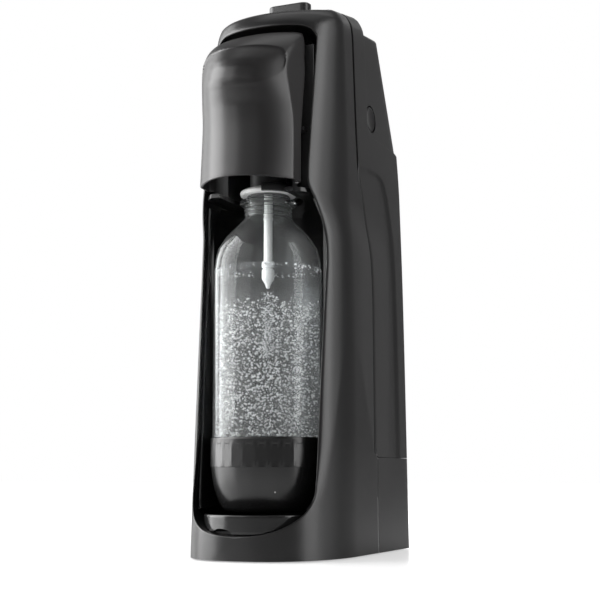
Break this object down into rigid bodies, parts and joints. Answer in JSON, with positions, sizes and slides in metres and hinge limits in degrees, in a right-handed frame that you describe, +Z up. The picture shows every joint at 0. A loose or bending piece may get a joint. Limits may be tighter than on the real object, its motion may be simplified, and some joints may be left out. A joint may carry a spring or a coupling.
{
  "type": "soda carbonator",
  "caption": "Tall countertop drink carbonator: a tapered shell with an open front bay, a clear bottle under a tilting nozzle head, a top push button and a rear gas compartment.",
  "frame": {"origin": "on the table, under the middle of the outline", "axes": "+Z up, -Y towards the front of the machine, +X to the right of a person facing it"},
  "size_m": [0.123, 0.2242, 0.4411],
  "materials": {
    "housing_black": "satin charcoal moulding",
    "head_black": "satin gloss dark panel",
    "cover_black": "satin charcoal moulding",
    "bay_black": "gloss black liner",
    "inner_plastic": "as moulded",
    "button_black": "satin",
    "white_plastic": "smooth",
    "grey_seal": "soft",
    "black_rubber": "matt",
    "clear_bottle": "clear, glossy",
    "water": "clear, with bubbles",
    "cup_black": "gloss black",
    "steel": "bright",
    "zinc": "cast, matt",
    "brass": "machined",
    "cylinder_paint": "satin silver grey"
  },
  "bodies": {
    "housing": {"front_housing": "housing_black", "base_plate": "inner_plastic", "feet": "black_rubber", "bay_floor": "bay_black", "bay_liner": "bay_black", "bay_bezel": "bay_black", "bay_roof": "bay_black", "head_panel": "head_black", "head_frame": "inner_plastic", "chassis": "inner_plastic", "deck": "inner_plastic", "valve_block_cover": "cover_black", "valve_holder": "zinc", "valve_seal": "black_rubber", "relief_valve": "brass", "lever_bracket": "steel", "lever_pin": "steel", "button_guide": "inner_plastic", "button_spring": "steel", "gas_hose": "black_rubber", "hose_elbow_rear": "brass", "hose_elbow_front": "brass", "cylinder_rest": "inner_plastic", "latch_posts": "inner_plastic", "latch_spring_left": "steel", "latch_spring_right": "steel", "base_screws": "steel"},
    "button": {"push_button": "button_black", "button_stem": "white_plastic"},
    "lever": {"actuator_lever": "steel"},
    "cylinder": {"co2_cylinder": "cylinder_paint", "cylinder_valve": "brass"},
    "valve_pin": {"valve_pin": "steel"},
    "carriage": {"nozzle_carriage": "inner_plastic", "nozzle_seat": "white_plastic", "neck_collar": "inner_plastic", "nozzle_tube": "white_plastic", "nozzle_tip": "white_plastic", "bottle_seal": "grey_seal"},
    "bottle": {"bottle": "clear_bottle", "water": "water", "base_cup": "cup_black"},
    "rear_cover": {"rear_cover": "cover_black"},
    "drip_tray": {"drip_tray": "cup_black"},
    "latch_left": {"latch_button_left": "button_black"},
    "latch_right": {"latch_button_right": "button_black"}
  },
  "joints": [
    {"name": "button_press", "type": "slide", "parent": "housing", "child": "button", "axis": [0, 0, -1], "range_m": [0, 0.006], "stiffness_N_per_m": 400, "springref_m": -0.006, "deforming": ["button_spring"]},
    {"name": "lever_rock", "type": "hinge", "parent": "housing", "child": "lever", "pos_m": [0, 0.06475, 0.395], "axis": [1, 0, 0], "range_deg": [0, 5.5]},
    {"name": "cylinder_screw", "type": "hinge", "parent": "housing", "child": "cylinder", "pos_m": [0, 0.04775, 0.33], "axis": [0, 0, 1], "range_deg": [-180, 0]},
    {"name": "pin_press", "type": "slide", "parent": "cylinder", "child": "valve_pin", "axis": [0, 0, -1], "range_m": [0, 0.0017]},
    {"name": "bottle_tilt", "type": "hinge", "parent": "housing", "child": "carriage", "pos_m": [0, -0.04025, 0.3], "axis": [1, 0, 0], "range_deg": [-12, 0]},
    {"name": "bottle_screw", "type": "hinge", "parent": "carriage", "child": "bottle", "pos_m": [0, -0.04025, 0.27], "axis": [0, 0, 1], "range_deg": [-120, 0]},
    {"name": "cover_lift", "type": "slide", "parent": "housing", "child": "rear_cover", "axis": [0, 0, 1], "range_m": [0, 0.012]},
    {"name": "tray_slide", "type": "slide", "parent": "housing", "child": "drip_tray", "axis": [0, -1, 0], "range_m": [0, 0.075]},
    {"name": "latch_left_press", "type": "slide", "parent": "housing", "child": "latch_left", "axis": [1, 0, 0], "range_m": [0, 0.0025], "stiffness_N_per_m": 300, "springref_m": -0.002, "deforming": ["latch_spring_left"]},
    {"name": "latch_right_press", "type": "slide", "parent": "housing", "child": "latch_right", "axis": [-1, 0, 0], "range_m": [0, 0.0025], "stiffness_N_per_m": 300, "springref_m": -0.002, "deforming": ["latch_spring_right"]}
  ],
  "couplings": [
    {"joint": "lever_rock", "follows": "button_press", "rad_per_m": 15.748},
    {"joint": "pin_press", "follows": "button_press", "ratio": 0.2677}
  ]
}
